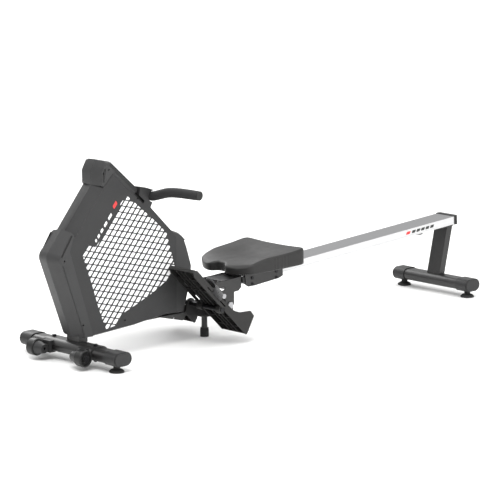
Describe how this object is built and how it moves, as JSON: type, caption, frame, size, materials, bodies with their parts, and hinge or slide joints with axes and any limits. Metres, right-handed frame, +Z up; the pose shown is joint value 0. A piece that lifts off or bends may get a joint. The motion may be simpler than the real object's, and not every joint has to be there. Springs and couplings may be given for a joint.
{
  "type": "rowing machine",
  "caption": "Folding rowing machine: flywheel housing with console, sliding seat on an inclined rail, tilting foot plates, pull handle and stabilizers.",
  "frame": {"origin": "on the floor, under the middle of the whole machine in rowing position", "axes": "+X from the housing towards the rear foot, +Y to the side, +Z up"},
  "size_m": [1.914, 0.496, 0.662],
  "materials": {
    "housing_plastic": "fine spark-eroded texture, black",
    "trim_plastic": "fine texture, black",
    "pedal_plastic": "satin moulded nylon, dark grey",
    "frame_paint": "semi-gloss powder coat, dark grey",
    "rail_aluminium": "satin anodised",
    "plated_steel": "zinc plated",
    "black_steel": "black oxide",
    "flywheel_iron": "turned",
    "hard_rubber": "matt moulded rubber",
    "wheel_plastic": "satin moulded",
    "grip_foam": "closed-cell foam, matt",
    "seat_skin": "moulded polyurethane skin, fine grain",
    "webbing": "woven nylon webbing",
    "belt_rubber": "ribbed drive belt",
    "screen": "clear cover over a grey display",
    "button_plastic": "glossy push button"
  },
  "bodies": {
    "base": {"front_stabilizer": "frame_paint", "front_end_caps": "trim_plastic", "frame_bolts": "black_steel", "main_frame": "frame_paint", "support_leg": "frame_paint", "leg_foot": "hard_rubber", "wheel_brackets": "trim_plastic", "shell_left": "housing_plastic", "shell_right": "housing_plastic", "front_cover_left": "housing_plastic", "front_cover_right": "housing_plastic", "top_cap_left": "housing_plastic", "top_cap_right": "housing_plastic", "rear_cover_left": "housing_plastic", "rear_cover_right": "housing_plastic", "shell_screws": "black_steel", "console_body": "trim_plastic", "console_lens": "screen", "handle_cradle": "trim_plastic", "pull_strap": "webbing", "flywheel_axle": "plated_steel", "reel_axle": "plated_steel", "drive_belt": "belt_rubber", "recoil_spring": "plated_steel", "brake_motor": "trim_plastic", "pedal_shaft": "plated_steel", "hinge_pin": "plated_steel"},
    "rail_frame": {"hinge_bracket": "frame_paint", "rail": "rail_aluminium", "rail_end_cap": "trim_plastic", "rail_stops": "hard_rubber", "rear_post": "frame_paint", "rear_stabilizer": "frame_paint", "rear_end_caps": "trim_plastic"},
    "seat": {"carriage": "frame_paint", "carriage_axles": "plated_steel", "carriage_glides": "wheel_plastic", "seat_pad": "seat_skin"},
    "roller_front": {"rollers_front": "wheel_plastic"},
    "roller_rear": {"rollers_rear": "wheel_plastic"},
    "handlebar": {"handle_bar": "black_steel", "handle_grips": "grip_foam", "handle_plugs": "hard_rubber"},
    "reel": {"drive_reel": "trim_plastic"},
    "pulley": {"strap_pulley": "wheel_plastic"},
    "flywheel": {"flywheel": "flywheel_iron", "flywheel_bearings": "plated_steel"},
    "brake": {"brake_bracket": "frame_paint"},
    "pedal_l": {"pedal_left": "pedal_plastic", "pedal_strap_left": "webbing"},
    "pedal_r": {"pedal_right": "pedal_plastic", "pedal_strap_right": "webbing"},
    "lock_knob": {"lock_pin": "plated_steel"},
    "button": {"mode_button": "button_plastic"},
    "foot_fl": {"foot_front_left": "hard_rubber"},
    "foot_fr": {"foot_front_right": "hard_rubber"},
    "foot_rl": {"foot_rear_left": "hard_rubber"},
    "foot_rr": {"foot_rear_right": "hard_rubber"},
    "wheel_l": {"wheel_left": "wheel_plastic"},
    "wheel_r": {"wheel_right": "wheel_plastic"}
  },
  "joints": [
    {"name": "rail_fold", "type": "hinge", "parent": "base", "child": "rail_frame", "pos_m": [-0.191, 0, 0.105], "axis": [0, 1, 0], "range_deg": [-58, 0]},
    {"name": "seat_slide", "type": "slide", "parent": "rail_frame", "child": "seat", "axis": [0.9973, 0, 0.0738], "range_m": [0, 0.72]},
    {"name": "roller_front_spin", "type": "hinge", "parent": "seat", "child": "roller_front", "pos_m": [-0.09096, 0, 0.21406], "axis": [0, 1, 0], "continuous": true},
    {"name": "roller_rear_spin", "type": "hinge", "parent": "seat", "child": "roller_rear", "pos_m": [0.02372, 0, 0.22254], "axis": [0, 1, 0], "continuous": true},
    {"name": "handle_pull", "type": "slide", "parent": "base", "child": "handlebar", "axis": [1, 0, 0], "range_m": [0, 1.15], "stiffness_N_per_m": 15, "springref_m": -0.6},
    {"name": "reel_spin", "type": "hinge", "parent": "base", "child": "reel", "pos_m": [-0.598, 0, 0.4], "axis": [0, 1, 0], "continuous": true},
    {"name": "pulley_spin", "type": "hinge", "parent": "base", "child": "pulley", "pos_m": [-0.605, 0, 0.507], "axis": [0, 1, 0], "continuous": true},
    {"name": "flywheel_spin", "type": "hinge", "parent": "base", "child": "flywheel", "pos_m": [-0.723, 0, 0.29], "axis": [0, 1, 0], "continuous": true},
    {"name": "brake_swing", "type": "hinge", "parent": "base", "child": "brake", "pos_m": [-0.821, 0, 0.204], "axis": [0, 1, 0], "range_deg": [-6, 0]},
    {"name": "pedal_left_tilt", "type": "hinge", "parent": "base", "child": "pedal_l", "pos_m": [-0.355, 0, 0.133], "axis": [0, -1, 0], "range_deg": [-10, 25]},
    {"name": "pedal_right_tilt", "type": "hinge", "parent": "base", "child": "pedal_r", "pos_m": [-0.355, 0, 0.133], "axis": [0, -1, 0], "range_deg": [-10, 25]},
    {"name": "lock_pull", "type": "slide", "parent": "rail_frame", "child": "lock_knob", "axis": [0, -1, 0], "range_m": [0, 0.012], "stiffness_N_per_m": 500, "springref_m": -0.004},
    {"name": "button_press", "type": "slide", "parent": "base", "child": "button", "axis": [-0.6577, 0, -0.7533], "range_m": [0, 0.0015], "stiffness_N_per_m": 300},
    {"name": "foot_front_left_turn", "type": "hinge", "parent": "base", "child": "foot_fl", "pos_m": [-0.843, -0.21, 0], "axis": [0, 0, 1], "continuous": true},
    {"name": "foot_front_right_turn", "type": "hinge", "parent": "base", "child": "foot_fr", "pos_m": [-0.843, 0.21, 0], "axis": [0, 0, 1], "continuous": true},
    {"name": "foot_rear_left_turn", "type": "hinge", "parent": "rail_frame", "child": "foot_rl", "pos_m": [0.891, -0.158, 0], "axis": [0, 0, 1], "continuous": true},
    {"name": "foot_rear_right_turn", "type": "hinge", "parent": "rail_frame", "child": "foot_rr", "pos_m": [0.891, 0.158, 0], "axis": [0, 0, 1], "continuous": true},
    {"name": "wheel_left_spin", "type": "hinge", "parent": "base", "child": "wheel_l", "pos_m": [-0.9115, -0.122, 0.042], "axis": [0, 1, 0], "continuous": true},
    {"name": "wheel_right_spin", "type": "hinge", "parent": "base", "child": "wheel_r", "pos_m": [-0.9115, 0.122, 0.042], "axis": [0, 1, 0], "continuous": true}
  ],
  "couplings": [
    {"joint": "roller_front_spin", "follows": "seat_slide", "rad_per_m": 83.333},
    {"joint": "roller_rear_spin", "follows": "seat_slide", "rad_per_m": 83.333},
    {"joint": "reel_spin", "follows": "handle_pull", "rad_per_m": 28.571},
    {"joint": "pulley_spin", "follows": "handle_pull", "rad_per_m": 71.429},
    {"joint": "flywheel_spin", "follows": "handle_pull", "rad_per_m": 85.714}
  ]
}
